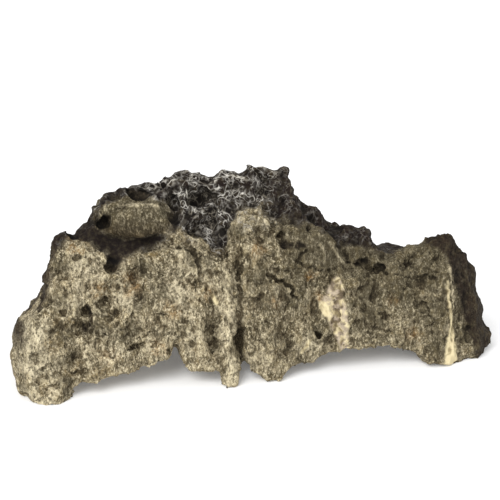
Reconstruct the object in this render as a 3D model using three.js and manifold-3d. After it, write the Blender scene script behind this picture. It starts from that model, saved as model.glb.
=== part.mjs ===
// A scholars' rock: one natural stone shaped like a small mountain range, standing on its own feet.
//
// Units are millimetres. +X runs along the stone, +Y from its front wall to its back, +Z up.
// The origin is on the surface it stands on, under the middle of the stone.
//
// The stone is described as a field that is negative inside the rock. A cross-section that changes
// along the stone gives its mass, ribs and bosses are blended on, hollows and clefts are carved out,
// and folded noise roughens what is left. The field is then meshed, thinned and cut flat at its feet.

import * as THREE from "three";
import { ImprovedNoise } from "three/addons/math/ImprovedNoise.js";
import { mergeVertices } from "three/addons/utils/BufferGeometryUtils.js";
import Module from "manifold-3d";

const { MathUtils, Vector3 } = THREE;

// Driving dimensions of the whole stone.
const LEFT = -156; // tip of the left foot
const RIGHT = 155; // right end
const WALL_LEAN = 0.31; // how far the front wall leans back for each millimetre of height
const EDGE_ROUND = 3; // softening of the main edges
const STAND_DEPTH = 4; // the feet are modelled this much too long, then cut flat

// Meshing.
const CELL = 2.5; // size of a meshing cell
const TRIANGLES = 9700; // faces left after thinning
const HIDDEN_WEIGHT = 0.12; // how much the back and the underside count when faces are thinned

// A smooth curve through hand-picked [place, value] pairs.
function curve(pairs) {
  return (t) => {
    const last = pairs.length - 1;
    if (t <= pairs[0][0]) return pairs[0][1];
    if (t >= pairs[last][0]) return pairs[last][1];
    const i = pairs.findIndex(([place]) => place > t);
    const [t0, v0] = pairs[i - 1];
    const [t1, v1] = pairs[i];
    return MathUtils.lerp(v0, v1, MathUtils.smoothstep((t - t0) / (t1 - t0), -0.25, 1.25));
  };
}

// Outlines along the stone, as [x, height] or [x, depth].
const crestHeight = curve([
  [-156, 38], [-142, 66], [-130, 88], [-120, 98], [-114, 97], [-106, 90], [-97, 84], [-91, 76], [-86, 79],
  [-80, 83], [-70, 85], [-60, 87], [-54, 91], [-46, 94], [-38, 89], [-31, 80], [-24, 74], [-17, 88], [-10, 100],
  [0, 103], [8, 98],
  [14, 90], [40, 84], [47, 76], [56, 69], [68, 70], [79, 66], [92, 71], [108, 75], [118, 81], [128, 81],
  [140, 66], [156, 30],
]);
const skyHeight = curve([
  [-156, 40], [-136, 66], [-122, 93], [-114, 97], [-105, 100], [-98, 105], [-92, 112], [-84, 117],
  [-62, 118], [-56, 118], [-50, 123], [-40, 124], [-29, 121], [-17, 123], [-6, 121], [6, 122], [22, 122],
  [27, 116], [32, 104], [40, 99], [47, 92], [54, 87], [64, 86], [73, 82], [80, 74], [90, 70], [102, 71],
  [112, 70], [122, 74], [136, 66], [156, 28],
]);
const skyDepth = curve([[-156, -22], [-120, -17], [-98, -5], [-80, 3], [22, 5], [48, -5], [76, -10], [110, -15], [156, -20]]);
const frontFoot = curve([
  [-156, -46], [-146, -52], [-132, -53], [-110, -50], [-88, -48], [-50, -49], [-22, -52], [10, -51],
  [50, -47], [86, -48], [114, -52], [130, -52], [146, -46], [158, -36],
]);
const backFoot = curve([[-156, 18], [-120, 40], [-60, 51], [0, 55], [60, 50], [110, 38], [156, 13]]);
const underside = curve([
  [-156, 6], [-146, -4], [-134, -4], [-124, 4], [-104, 7], [-84, 10], [-64, 14], [-56, 23], [-50, 10],
  [-30, 9], [-14, 5], [-3, 4], [12, 3], [22, 5], [38, 8], [52, 13], [68, 14], [88, 13], [98, 7],
  [114, 2], [124, -4], [146, -4], [156, 4],
]);

// The back stands on three broad toes, where this edge dips below the ground.
const backUnderside = curve([
  [-156, 12], [-124, 4], [-112, -6], [-94, -6], [-80, 8], [-50, 13], [-30, 9], [-20, -6], [4, -6], [16, 7],
  [44, 14], [66, 8], [76, -6], [94, -6], [106, 8], [156, 14],
]);

// How far the stone reaches to each side at a given height.
const leftReach = curve([
  [0, -147], [8, -152], [19, -155], [32, -154], [42, -146], [52, -138], [60, -132], [76, -128], [88, -124],
  [98, -114], [108, -99], [120, -86],
]);
const rightReach = curve([
  [0, 156], [10, 156], [26, 152], [41, 147], [55, 143], [70, 139], [78, 134], [86, 125], [110, 108],
]);
const SIDE_CHAMFER = 32; // the right end turns away from the wall by this much
const CHAMFER_START = 18; // depth in front of the middle where it begins to turn
const CHAMFER_END = 56;

// A place on the front wall at [x, z], that far inside it, or outside it where the number is negative.
const wall = (x, z, inside = 0) => [x, frontFoot(x) + WALL_LEAN * z + inside, z];

// Rounded masses blended onto the body: capsules from one end to the other.
const masses = [
  // left foot and the buttress above it
  { from: wall(-141, 10, 13), to: wall(-138, 36, 12), radii: [14, 17], blend: 5 },
  { from: wall(-130, -2, 12), to: wall(-126, 30, 11), radii: [11, 15], blend: 5 },
  { from: wall(-127, 44, 12), to: wall(-114, 80, 10), radii: [13, 11], blend: 6 },
  // lumps around the pits low on the left
  { from: wall(-100, 36, 4), to: wall(-78, 46, 4), radii: [8, 7], blend: 5 },
  { from: wall(-78, 46, 4), to: wall(-68, 62, 5), radii: [7, 8], blend: 5 },
  { from: wall(-92, 21, 3), to: wall(-64, 25, 3), radii: [6, 7], blend: 4 },
  { from: wall(-106, 74, 6), to: wall(-94, 70, 5), radii: [9, 9], blend: 5 },
  // large boulder standing behind the scooped ledge
  { from: [-86, 0, 100], to: [-64, -1, 99], radii: [16, 17], blend: 2.5 },
  { from: [-98, 0, 97], to: [-94, 1, 101], radii: [7, 8], blend: 2.5 },
  // blade under the left crest, and the ribs on each side of it
  { from: wall(-51, 56, 4), to: wall(-46, 88, 3), radii: [6.5, 6], blend: 3 },
  { from: wall(-60, 32, 4), to: wall(-55, 62, 5), radii: [8, 7], blend: 5 },
  { from: wall(-40, 44, 3), to: wall(-35, 78, 3), radii: [6, 5.5], blend: 4 },
  { from: wall(-40, 20, 3), to: wall(-40, 40, 4), radii: [7, 6], blend: 4 },
  // finger that runs down the wall to a toe on the ground
  { from: wall(-22.5, -4, 4), to: wall(-22.5, 30, 2), radii: [6.8, 6.8], blend: 1.5 },
  { from: wall(-22.5, 30, 2), to: wall(-20, 66, 2), radii: [6.8, 5.5], blend: 2 },
  // upright block at the middle of the wall
  { from: wall(-4, 60, 6), to: wall(-3, 92, 6), radii: [12, 12], blend: 2 },
  { from: wall(5, 58, 7), to: wall(4, 88, 7), radii: [11, 11], blend: 2 },
  { from: wall(1, 18, 6), to: wall(0, 56, 6), radii: [11, 12], blend: 3 },
  // small foot beside the toe
  { from: wall(6, 0, 7), to: wall(4, 18, 8), radii: [7.5, 12], blend: 4 },
  // flutes right of the middle
  { from: wall(22, 26, 6), to: wall(24, 58, 6), radii: [9, 10], blend: 5 },
  { from: wall(58, 28, 5), to: wall(60, 58, 5), radii: [8, 9], blend: 7 },
  { from: wall(88, 26, 6), to: wall(90, 60, 6), radii: [10, 10], blend: 7 },
  // slanting edge of the leaning plate
  { from: wall(44, 82, 6), to: wall(53, 67, 4.5), radii: [5, 5], blend: 3 },
  // right end column, its foot and the nub beside it
  { from: wall(115, 6, 8), to: wall(114, 58, 7), radii: [10, 10.5], blend: 5 },
  { from: [138, -30, 6], to: [134, -20, 44], radii: [15, 14], blend: 6 },
  { from: [127, -17, 46], to: [123, -17, 68], radii: [13, 11.5], blend: 4 },
  { from: [155, -25, 11], to: [148, -20, 14], radii: [5.5, 7], blend: 1.5 },
  // peaks and knobs of the skyline
  { from: [20, 4, 108], to: [17, 2, 124], radii: [10, 8.5], blend: 3 },
  { from: [2, 8, 110], to: [1, 4, 126], radii: [7, 5], blend: 3 },
  { from: [-16, 6, 106], to: [-17, 6, 114], radii: [12, 9], blend: 3 },
  { from: [-45, 4, 106], to: [-42, 4, 116], radii: [11, 9], blend: 3 },
  { from: [36, 0, 88], to: [38, -2, 92], radii: [9, 7.5], blend: 2.5 },
  { from: [62, -10, 78], to: [72, -10, 79], radii: [8, 6.5], blend: 2.5 },
  { from: [102, -20, 62], to: [103, -18, 67], radii: [8, 7], blend: 3 },
  // lumps on the pitted slope
  { from: [-36, -6, 96], to: [-24, -2, 104], radii: [7, 7], blend: 2.5 },
  { from: [26, -8, 98], to: [30, -12, 92], radii: [8, 7], blend: 2.5 },
];

// The back is fluted too: a row of leaning ribs of uneven width and height, with a scoop beside each.
const BACK_RIBS = 9;
const BACK_RIB_SPACING = 30;
const backHollows = [];
for (let i = 0; i < BACK_RIBS; i++) {
  const sway = Math.sin(i * 2.4);
  const x = (i - (BACK_RIBS - 1) / 2) * BACK_RIB_SPACING + 6 * sway;
  const top = skyHeight(x) * (0.62 + 0.14 * Math.cos(i * 1.7));
  const inside = 5 - 1.5 * Math.cos(i * 3.1);
  const foot = [x + 3 * sway, backFoot(x) - inside - 3, 18];
  const head = [x, MathUtils.lerp(backFoot(x), skyDepth(x), 0.42) - inside, top];
  masses.push({ from: foot, to: head, radii: [9 + 2.5 * sway, 7 - sway], blend: 5 });
  const between = x + BACK_RIB_SPACING / 2;
  const height = top * (0.62 + 0.22 * sway);
  backHollows.push({
    at: [between, MathUtils.lerp(backFoot(between), skyDepth(between), 0.22) + 3, height],
    size: [6 + 2 * sway, 8, 18 + 7 * Math.cos(i * 2.9)],
    blend: 5,
  });
  backHollows.push({
    at: [between - 11, MathUtils.lerp(backFoot(between), skyDepth(between), 0.52) + 5, height + 22],
    size: [11 - 3 * sway, 8, 7],
    blend: 5,
  });
}

// Hollows carved out of it, as ellipsoids: place, half sizes and how softly they meet the rock.
const hollows = [
  // scooped ledge below the left boulder, from its outer pit to the deep hole under it and on to the right
  { at: [-112, -14, 104], size: [7, 9, 5], blend: 3 },
  { at: [-103, -18, 96], size: [9, 10, 6], blend: 4 },
  { at: [-97, -19, 88], size: [8, 9, 5], blend: 3 },
  { at: wall(-90, 79, 1), size: [5, 9, 5.5], blend: 2 },
  { at: [-76, -20, 88], size: [24, 9, 4.5], blend: 4 },
  // pit in the boulder's left shoulder, and one on top of it
  { at: [-95, -11, 100], size: [4.5, 6, 3.5], blend: 2 },
  { at: [-68, -1, 118], size: [13, 7, 5], blend: 2 },
  // cleft between the boulder and the pitted slope
  { at: [-49, -10, 106], size: [4, 10, 9], blend: 3 },
  { at: wall(-53, 88), size: [3, 4, 2], blend: 1.5 },
  // gully that drops from the ridge to the notch in the crest
  { at: [-24, -25, 84], size: [7, 9, 10], blend: 3 },
  { at: [-27, -17, 97], size: [10, 10, 10], blend: 3 },
  { at: [-31, -9, 109], size: [10, 9, 8], blend: 3 },
  // pits low on the left
  { at: wall(-108, 50), size: [3.5, 6, 5], blend: 2 },
  { at: wall(-114, 42), size: [5.5, 6, 3.5], blend: 2 },
  { at: wall(-98, 54), size: [3, 5, 2.2], blend: 1.5 },
  { at: wall(-88, 48, -1), size: [5.5, 5, 4], blend: 3 },
  { at: wall(-71, 71, -1), size: [6, 3.5, 2.5], blend: 2.5 },
  // shadowed grooves beside the finger and the middle block
  { at: wall(-13.5, 36, -3), size: [2.5, 5.5, 27], blend: 2 },
  { at: wall(-30.5, 44, -3), size: [2.5, 4, 24], blend: 3 },
  { at: wall(16, 42, -3), size: [4, 4.5, 18], blend: 4 },
  // slot left of the low plate, up from the underside
  { at: wall(-54, 14), size: [3, 14, 10], blend: 1 },
  // hole above the leaning plate, and the groove left of the pale patch
  { at: wall(17, 88, 1), size: [4.5, 6, 2.5], blend: 1.5 },
  { at: wall(35, 46, -3), size: [2.5, 5, 15], blend: 3 },
  // broken pits along the crest on the right
  { at: wall(58, 67), size: [5, 5.5, 2.5], blend: 2 },
  { at: wall(71, 66), size: [5, 5.5, 2.5], blend: 2 },
  { at: wall(82, 62), size: [5, 4.5, 3], blend: 2 },
  { at: wall(100, 67), size: [4, 4.5, 2.5], blend: 2 },
  // saddles between the peaks
  { at: [10, 4, 129], size: [4, 14, 7], blend: 1.5 },
  { at: [-30, 5, 130], size: [5, 14, 6], blend: 2 },
  { at: [30, -6, 113], size: [6, 12, 7], blend: 3 },
  ...backHollows,
];

// The plate that leans against the wall right of the middle: a flat-faced slab.
const plate = {
  at: new Vector3(...wall(28, 77, 5)),
  half: new Vector3(16, 8, 12),
  turn: new THREE.Euler(MathUtils.degToRad(-17), MathUtils.degToRad(10), MathUtils.degToRad(6)),
  blend: 2,
};

const perlin = new ImprovedNoise();
const noise = (x, y, z, size) => perlin.noise(x / size + 11.3, y / size + 5.7, z / size + 8.1);

// Blends two fields: join keeps both, carve keeps the first outside the second.
function join(a, b, k) {
  const h = Math.max(k - Math.abs(a - b), 0) / k;
  return Math.min(a, b) - (h * h * k) / 4;
}
const carve = (a, b, k) => -join(-a, b, k);

// Signed distance to a closed outline of [y, z] corners.
function outlineDistance(corners, y, z) {
  let nearest = Infinity;
  let inside = false;
  corners.forEach(([ay, az], i) => {
    const [by, bz] = corners[(i + 1) % corners.length];
    const [ey, ez] = [by - ay, bz - az];
    const t = MathUtils.clamp(((y - ay) * ey + (z - az) * ez) / (ey * ey + ez * ez), 0, 1);
    nearest = Math.min(nearest, Math.hypot(y - ay - t * ey, z - az - t * ez));
    if (az > z !== bz > z && y < ay + (ey * (z - az)) / ez) inside = !inside;
  });
  return inside ? -nearest : nearest;
}

// The body: its cross-section at x, closed off by the two leaning ends.
function body(x, y, z) {
  const outlines = [crestHeight, skyHeight, skyDepth, frontFoot, backFoot];
  const [crest, sky, skyY, foot, back] = outlines.map((outline) => outline(x));
  const under = underside(x);
  const inset = EDGE_ROUND; // the corners lie inside the surface by its rounding
  const front = foot + inset;
  const rear = back - inset;
  const backUnder = backUnderside(x) + inset;
  const terrace = 0.66 + 0.16 * noise(x, 0, 0, 31); // height of the back's broken terrace, as a share of the ridge
  const section = [
    [front + WALL_LEAN * under, under + inset],
    [front + WALL_LEAN * crest, crest - inset],
    [MathUtils.lerp(front + WALL_LEAN * crest, skyY, 0.55), MathUtils.lerp(crest, sky, 0.42) - inset],
    [skyY - 6, sky - inset],
    [skyY + 9, sky - inset - 2],
    [MathUtils.lerp(skyY, rear, 0.5), sky * (terrace + 0.12)],
    [MathUtils.lerp(skyY, rear, 0.74), sky * terrace],
    [rear - 3, 32],
    [rear, backUnder + 12],
    [rear - 5, backUnder + 2],
    [rear - 20, backUnder],
    [rear - 34, Math.max(backUnder, 4) + 9],
    [-4, 15 + inset],
  ];
  const across = outlineDistance(section, y, z) - EDGE_ROUND;
  const roundPlan = 15 * ((y + 22) / 60) ** 2;
  const chamfer = SIDE_CHAMFER * MathUtils.smoothstep(-y, CHAMFER_START, CHAMFER_END);
  const left = leftReach(z) + roundPlan - x;
  const right = x - rightReach(z) + Math.max(roundPlan * Math.sign(y + 22), 0) + chamfer;
  return carve(carve(across, -left, 7), -right, 7);
}

function capsule(x, y, z, { from, to, radii }) {
  const [ex, ey, ez] = [to[0] - from[0], to[1] - from[1], to[2] - from[2]];
  const [px, py, pz] = [x - from[0], y - from[1], z - from[2]];
  const t = MathUtils.clamp((px * ex + py * ey + pz * ez) / (ex * ex + ey * ey + ez * ez), 0, 1);
  return Math.hypot(px - t * ex, py - t * ey, pz - t * ez) - MathUtils.lerp(radii[0], radii[1], t);
}

function ellipsoid(x, y, z, { at, size }) {
  const unit = Math.hypot((x - at[0]) / size[0], (y - at[1]) / size[1], (z - at[2]) / size[2]);
  return (unit - 1) * Math.min(...size);
}

const toPlate = new THREE.Matrix4().makeRotationFromEuler(plate.turn).transpose();
function slab(x, y, z) {
  const p = new Vector3(x, y, z).sub(plate.at).applyMatrix4(toPlate);
  const [qx, qy, qz] = [Math.abs(p.x) - plate.half.x, Math.abs(p.y) - plate.half.y, Math.abs(p.z) - plate.half.z];
  return Math.hypot(Math.max(qx, 0), Math.max(qy, 0), Math.max(qz, 0)) + Math.min(Math.max(qx, qy, qz), 0);
}

// Roughness: upright grain on the walls, broad lumps, and sharp ridges where the top has weathered.
// The front of the large boulder and the leaning plate are left calmer than the rest.
function roughness(x, y, z) {
  const bend = 5 * noise(x, y, z, 34);
  const grain = Math.abs(noise(x + bend, y * 0.5, z * 0.28, 13)) * 7 - 2;
  const lumps = noise(x, y, z, 26) * 2.5 + (0.3 - Math.abs(noise(x, y, z, 15))) * 4.5;
  const topShare = MathUtils.smoothstep(z - 0.45 * Math.max(-y - 12, 0.3 * y), 60, 90);
  const offBoulder = MathUtils.smoothstep(Math.hypot((x + 76) / 26, (z - 94) / 16), 0.6, 1.2);
  const offPlate = MathUtils.smoothstep(Math.hypot((x - 30) / 22, (z - 74) / 14), 0.7, 1.2);
  const calm = y < 0 ? Math.min(offBoulder, offPlate) : 1;
  const ridges = Math.abs(noise(x + bend, y, z * 0.7, 14)) * 13 + Math.abs(noise(x, y + bend, z, 7)) * 6 - 4.2;
  return lumps * MathUtils.lerp(0.4, 1, calm) + MathUtils.lerp(-grain, ridges, topShare) * MathUtils.lerp(0.15, 1, calm);
}

function stone(x, y, z) {
  let f = body(x, y, z);
  for (const m of masses) f = join(f, capsule(x, y, z, m), m.blend);
  f = join(f, slab(x, y, z) - 2, plate.blend);
  for (const h of hollows) f = carve(f, ellipsoid(x, y, z, h), h.blend);
  if (Math.abs(f) < 14) f += roughness(x, y, z) * 0.8;
  return Math.max(f, -STAND_DEPTH - z);
}

// Samples the field on a grid of cells around the stone.
function sample(field) {
  const low = [LEFT - 12, -84, -STAND_DEPTH - 8];
  const high = [RIGHT + 12, 84, 150];
  const count = low.map((v, a) => Math.ceil((high[a] - v) / CELL) + 1);
  const values = new Float32Array(count[0] * count[1] * count[2]);
  const index = (i, j, k) => (k * count[1] + j) * count[0] + i;
  for (let k = 0; k < count[2]; k++)
    for (let j = 0; j < count[1]; j++)
      for (let i = 0; i < count[0]; i++)
        values[index(i, j, k)] = field(low[0] + i * CELL, low[1] + j * CELL, low[2] + k * CELL);
  return { low, count, values, index };
}

const AXES = [[1, 0, 0], [0, 1, 0], [0, 0, 1]];

// Fills the corners of cells where rock would meet rock only along an edge or at a point,
// so that the surface never touches itself.
function fillPinches(grid) {
  const { count, values, index } = grid;
  const solid = (i, j, k) => values[index(i, j, k)] < 0;
  const fill = (i, j, k) => (values[index(i, j, k)] = -0.2);
  let filled = 1;
  while (filled) {
    filled = 0;
    for (let k = 0; k < count[2] - 1; k++)
      for (let j = 0; j < count[1] - 1; j++)
        for (let i = 0; i < count[0] - 1; i++) {
          for (let a = 0; a < 3; a++) {
            const [u, v] = [AXES[(a + 1) % 3], AXES[(a + 2) % 3]];
            const corner = (s, t) => [i + s * u[0] + t * v[0], j + s * u[1] + t * v[1], k + s * u[2] + t * v[2]];
            const [p, q, r, s] = [corner(0, 0), corner(1, 0), corner(1, 1), corner(0, 1)].map((c) => solid(...c));
            if (p === r && q === s && p !== q) {
              fill(...(p ? corner(1, 0) : corner(0, 0)));
              filled++;
            }
          }
          for (const [di, dj, dk] of [[1, 1, 1], [1, 1, -1], [1, -1, 1], [-1, 1, 1]]) {
            const [i0, j0, k0] = [di < 0 ? i + 1 : i, dj < 0 ? j + 1 : j, dk < 0 ? k + 1 : k];
            const [i1, j1, k1] = [i0 + di, j0 + dj, k0 + dk];
            let rock = 0;
            for (let c = 0; c < 8; c++) rock += solid(i + (c & 1), j + ((c >> 1) & 1), k + (c >> 2)) ? 1 : 0;
            const [here, there] = [solid(i0, j0, k0), solid(i1, j1, k1)];
            if (here && there && rock === 2) {
              fill(i1, j0, k0);
              filled++;
            } else if (!here && !there && rock === 6) {
              fill(i0, j0, k0);
              filled++;
            }
          }
        }
  }
}

// Keeps the largest connected stretch of rock, or of air, and turns the others into their opposite:
// loose crumbs of rock and sealed bubbles of air both go.
function keepLargest({ count, values }, belongs, opposite) {
  const label = new Int32Array(values.length);
  const sizes = [0];
  const [nx, ny] = count;
  const steps = [1, -1, nx, -nx, nx * ny, -nx * ny];
  for (let start = 0; start < values.length; start++) {
    if (label[start] || !belongs(values[start])) continue;
    const id = sizes.push(0) - 1;
    const open = [start];
    label[start] = id;
    while (open.length) {
      const here = open.pop();
      sizes[id]++;
      for (const next of steps.map((step) => here + step))
        if (next in values && belongs(values[next]) && !label[next]) {
          label[next] = id;
          open.push(next);
        }
    }
  }
  const largest = sizes.indexOf(Math.max(...sizes));
  label.forEach((id, at) => {
    if (id && id !== largest) values[at] = opposite;
  });
}

// Wraps the grid's zero level in a closed mesh: one vertex per crossed cell, two faces per crossed edge.
function wrap({ low, count, values, index }) {
  const points = [];
  const vertexOf = new Int32Array(values.length).fill(-1);
  for (let k = 0; k < count[2] - 1; k++)
    for (let j = 0; j < count[1] - 1; j++)
      for (let i = 0; i < count[0] - 1; i++) {
        const sum = [0, 0, 0];
        let crossings = 0;
        for (let c = 0; c < 8; c++) {
          const at = [c & 1, (c >> 1) & 1, c >> 2];
          const v0 = values[index(i + at[0], j + at[1], k + at[2])];
          for (let a = 0; a < 3; a++) {
            if (at[a]) continue;
            const end = at.map((t, b) => (b === a ? 1 : t));
            const v1 = values[index(i + end[0], j + end[1], k + end[2])];
            if (v0 < 0 === v1 < 0) continue;
            at.forEach((t, b) => (sum[b] += b === a ? v0 / (v0 - v1) : t));
            crossings++;
          }
        }
        if (!crossings) continue;
        vertexOf[index(i, j, k)] = points.length;
        points.push(new Vector3(...sum.map((s, a) => low[a] + ([i, j, k][a] + s / crossings) * CELL)));
      }
  const faces = [];
  for (let k = 1; k < count[2] - 1; k++)
    for (let j = 1; j < count[1] - 1; j++)
      for (let i = 1; i < count[0] - 1; i++)
        for (let a = 0; a < 3; a++) {
          const step = AXES[a];
          const v0 = values[index(i, j, k)];
          const v1 = values[index(i + step[0], j + step[1], k + step[2])];
          if (v0 < 0 === v1 < 0) continue;
          const [u, v] = [AXES[(a + 1) % 3], AXES[(a + 2) % 3]];
          const around = [[0, 0], [1, 0], [1, 1], [0, 1]].map(
            ([s, t]) => vertexOf[index(i - s * u[0] - t * v[0], j - s * u[1] - t * v[1], k - s * u[2] - t * v[2])],
          );
          if (v0 >= 0) around.reverse();
          const [p, q, r, s] = around;
          const even = points[p].distanceTo(points[r]) < points[q].distanceTo(points[s]);
          faces.push(...(even ? [[p, q, r], [p, r, s]] : [[q, r, s], [q, s, p]]));
        }
  return { points, faces };
}

// The plane error of a face as the ten numbers of a symmetric 4 by 4 matrix.
function planeError(a, b, c, weight) {
  const normal = new Vector3().subVectors(b, a).cross(new Vector3().subVectors(c, a));
  const area = normal.length() / 2;
  normal.normalize();
  const n = [normal.x, normal.y, normal.z, -normal.dot(a)];
  const error = [];
  for (let i = 0; i < 4; i++) for (let j = i; j < 4; j++) error.push(n[i] * n[j] * area * weight);
  return error;
}

function errorAt(q, { x, y, z }) {
  const flat = x * (q[0] * x + 2 * (q[1] * y + q[2] * z + q[3])) + y * (q[4] * y + 2 * (q[5] * z + q[6]));
  return flat + z * (q[7] * z + 2 * q[8]) + q[9];
}

// Thins the mesh to a number of faces: short edges across flat rock are closed up first.
function thin({ points, faces }, target, weightAt) {
  const live = faces.map((f) => [...f]);
  const around = points.map(() => new Set());
  live.forEach((f, id) => f.forEach((v) => around[v].add(id)));
  const errors = points.map(() => new Array(10).fill(0));
  for (const [a, b, c] of live) {
    const e = planeError(points[a], points[b], points[c], weightAt(points[a]));
    for (const v of [a, b, c]) e.forEach((x, i) => (errors[v][i] += x));
  }
  const neighbours = (v) => new Set([...around[v]].flatMap((id) => live[id]).filter((w) => w !== v));
  const turnsOver = (v, other, place) =>
    [...around[v]].some((id) => {
      if (live[id].includes(other)) return false;
      const before = live[id].map((w) => points[w]);
      const after = live[id].map((w) => (w === v ? place : points[w]));
      const [n0, n1] = [before, after].map(([a, b, c]) =>
        new Vector3().subVectors(b, a).cross(new Vector3().subVectors(c, a)),
      );
      return n0.dot(n1) < 0.3 * n0.length() * n1.length();
    });
  let left = live.length;
  while (left > target) {
    const edges = [];
    live.forEach((f) => {
      if (!f) return;
      f.forEach((a, i) => {
        const b = f[(i + 1) % 3];
        if (a > b) return;
        const q = errors[a].map((x, n) => x + errors[b][n]);
        const middle = new Vector3().addVectors(points[a], points[b]).multiplyScalar(0.5);
        const places = [middle, points[a], points[b]];
        const costs = places.map((p) => errorAt(q, p));
        const best = costs.indexOf(Math.min(...costs));
        const spread = points[a].distanceToSquared(points[b]) * 0.002 * weightAt(middle);
        edges.push({ a, b, q, place: places[best].clone(), cost: costs[best] + spread });
      });
    });
    edges.sort((p, q) => p.cost - q.cost);
    const settled = new Set();
    const before = left;
    for (const { a, b, q, place } of edges.slice(0, Math.ceil(edges.length * 0.35))) {
      if (left <= target) break;
      if (settled.has(a) || settled.has(b)) continue;
      const [na, nb] = [neighbours(a), neighbours(b)];
      const shared = [...na].filter((v) => nb.has(v));
      if (shared.length !== 2 || na.size + nb.size < 9) continue;
      if (turnsOver(a, b, place) || turnsOver(b, a, place)) continue;
      for (const id of [...around[b]]) {
        if (live[id].includes(a)) {
          live[id].forEach((v) => around[v].delete(id));
          live[id] = null;
          left--;
        } else {
          live[id] = live[id].map((v) => (v === b ? a : v));
          around[a].add(id);
        }
      }
      around[b].clear();
      points[a] = place;
      errors[a] = q;
      for (const v of [a, b, ...na, ...nb]) settled.add(v);
    }
    if (left === before) break;
  }
  return { points, faces: live.filter(Boolean) };
}

// Moves between a mesh with shared points and a manifold-3d solid.
function toSolid(wasm, { points, faces }) {
  const loose = new THREE.BufferGeometry().setFromPoints(faces.flat().map((v) => points[v]));
  const merged = mergeVertices(loose, 1e-4);
  return new wasm.Manifold(
    new wasm.Mesh({
      numProp: 3,
      vertProperties: merged.attributes.position.array,
      triVerts: new Uint32Array(merged.index.array),
    }),
  );
}

function toGeometry(solid) {
  const { vertProperties, triVerts } = solid.getMesh();
  const shared = new THREE.BufferGeometry();
  shared.setAttribute("position", new THREE.BufferAttribute(vertProperties, 3));
  shared.setIndex(new THREE.BufferAttribute(triVerts, 1));
  const flat = shared.toNonIndexed();
  flat.computeVertexNormals();
  return flat;
}

const wasm = await Module();
wasm.setup();

const grid = sample(stone);
fillPinches(grid);
keepLargest(grid, (value) => value < 0, 0.2);
keepLargest(grid, (value) => value >= 0, -0.2);
const inFront = (p) => (p.z > 14 && p.y < 16 + p.z * 0.05 ? 1 : HIDDEN_WEIGHT);
const rough = thin(wrap(grid), TRIANGLES, inFront);

// The feet are cut level, so the stone stands.
const above = new THREE.BoxGeometry(400, 240, 200).translate(0, 0, 100).toNonIndexed();
const corners = Array.from({ length: above.attributes.position.count }, (_, i) =>
  new Vector3().fromBufferAttribute(above.attributes.position, i),
);
const upperHalf = toSolid(wasm, {
  points: corners,
  faces: Array.from({ length: corners.length / 3 }, (_, i) => [3 * i, 3 * i + 1, 3 * i + 2]),
});
const standing = toSolid(wasm, rough).intersect(upperHalf);

const stoneMaterial = new THREE.MeshStandardMaterial({ color: 0x6f6753, roughness: 0.85, metalness: 0 });
const stoneMesh = new THREE.Mesh(toGeometry(standing), stoneMaterial);
stoneMesh.name = "stone";

const rock = new THREE.Group();
rock.add(stoneMesh);

export default rock;
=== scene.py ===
"""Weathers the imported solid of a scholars' rock into the finished stone, and lights it for the picture."""

import math

import bpy
import numpy as np
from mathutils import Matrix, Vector, noise


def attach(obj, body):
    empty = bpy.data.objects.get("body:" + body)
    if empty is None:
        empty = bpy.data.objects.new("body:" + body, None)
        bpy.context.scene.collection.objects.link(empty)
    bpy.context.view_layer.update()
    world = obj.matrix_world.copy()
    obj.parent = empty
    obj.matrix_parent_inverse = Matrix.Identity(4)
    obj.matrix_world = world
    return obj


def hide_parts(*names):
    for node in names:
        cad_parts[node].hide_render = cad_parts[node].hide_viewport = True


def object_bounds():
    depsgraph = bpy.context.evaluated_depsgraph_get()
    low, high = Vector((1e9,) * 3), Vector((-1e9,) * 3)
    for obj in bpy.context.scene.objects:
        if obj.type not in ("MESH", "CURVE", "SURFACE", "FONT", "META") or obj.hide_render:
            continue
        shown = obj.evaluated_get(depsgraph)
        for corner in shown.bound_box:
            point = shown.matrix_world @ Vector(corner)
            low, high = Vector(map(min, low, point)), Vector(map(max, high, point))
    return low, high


bl_info = {
    "name": "Scholars' Rock",
    "version": (1, 0, 0),
    "blender": (4, 5, 0),
    "location": "3D View > Sidebar > Scholars' Rock",
    "description": "A desk stone shaped like a mountain range, with a fluted wall and a pitted ridge",
    "category": "Add Mesh",
}

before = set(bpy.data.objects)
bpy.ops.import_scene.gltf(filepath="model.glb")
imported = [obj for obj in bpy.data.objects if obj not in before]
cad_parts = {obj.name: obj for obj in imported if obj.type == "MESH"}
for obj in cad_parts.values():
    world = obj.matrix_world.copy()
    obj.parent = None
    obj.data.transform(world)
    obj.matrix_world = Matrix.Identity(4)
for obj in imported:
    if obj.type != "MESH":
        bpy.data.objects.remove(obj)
CAD_BOX = [list(corner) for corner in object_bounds()]

MM = 0.001
SENSOR_WIDTH_IN_MM = 36

# The direction from someone in front of the stone, who looks down on it a little.
AWAY = np.array([0.18, 0.92, -0.36])

# The leaning front wall: where its face meets the ground, how far it leans back for each millimetre of height,
# and the direction into it.
WALL_FOOT = -50
WALL_LEAN = 0.31
INTO_WALL = np.array([0.0, 1.0, -WALL_LEAN]) / math.hypot(1.0, WALL_LEAN)

# The crest between the front wall and the weathered top, as [x, height] in millimetres.
CREST = [(-156, 38), (-130, 84), (-118, 88), (-107, 88), (-99, 84), (-95, 78), (-90, 73), (-86, 74), (-80, 78),
         (-73, 82), (-66, 84), (-57, 87), (-50, 91), (-42, 90), (-34, 86), (-28, 78), (-23, 74), (-19, 83),
         (-15, 96), (-12, 101), (8, 101), (16, 94), (27, 90), (36, 87), (43, 85), (54, 77), (70, 74), (88, 70),
         (96, 73), (114, 78), (128, 80), (156, 80)]

# The boulder on the left: its middle and half sizes, both as [x, height].
BOULDER_MIDDLE = (-75, 102)
BOULDER_REACH = (25, 13)

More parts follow.
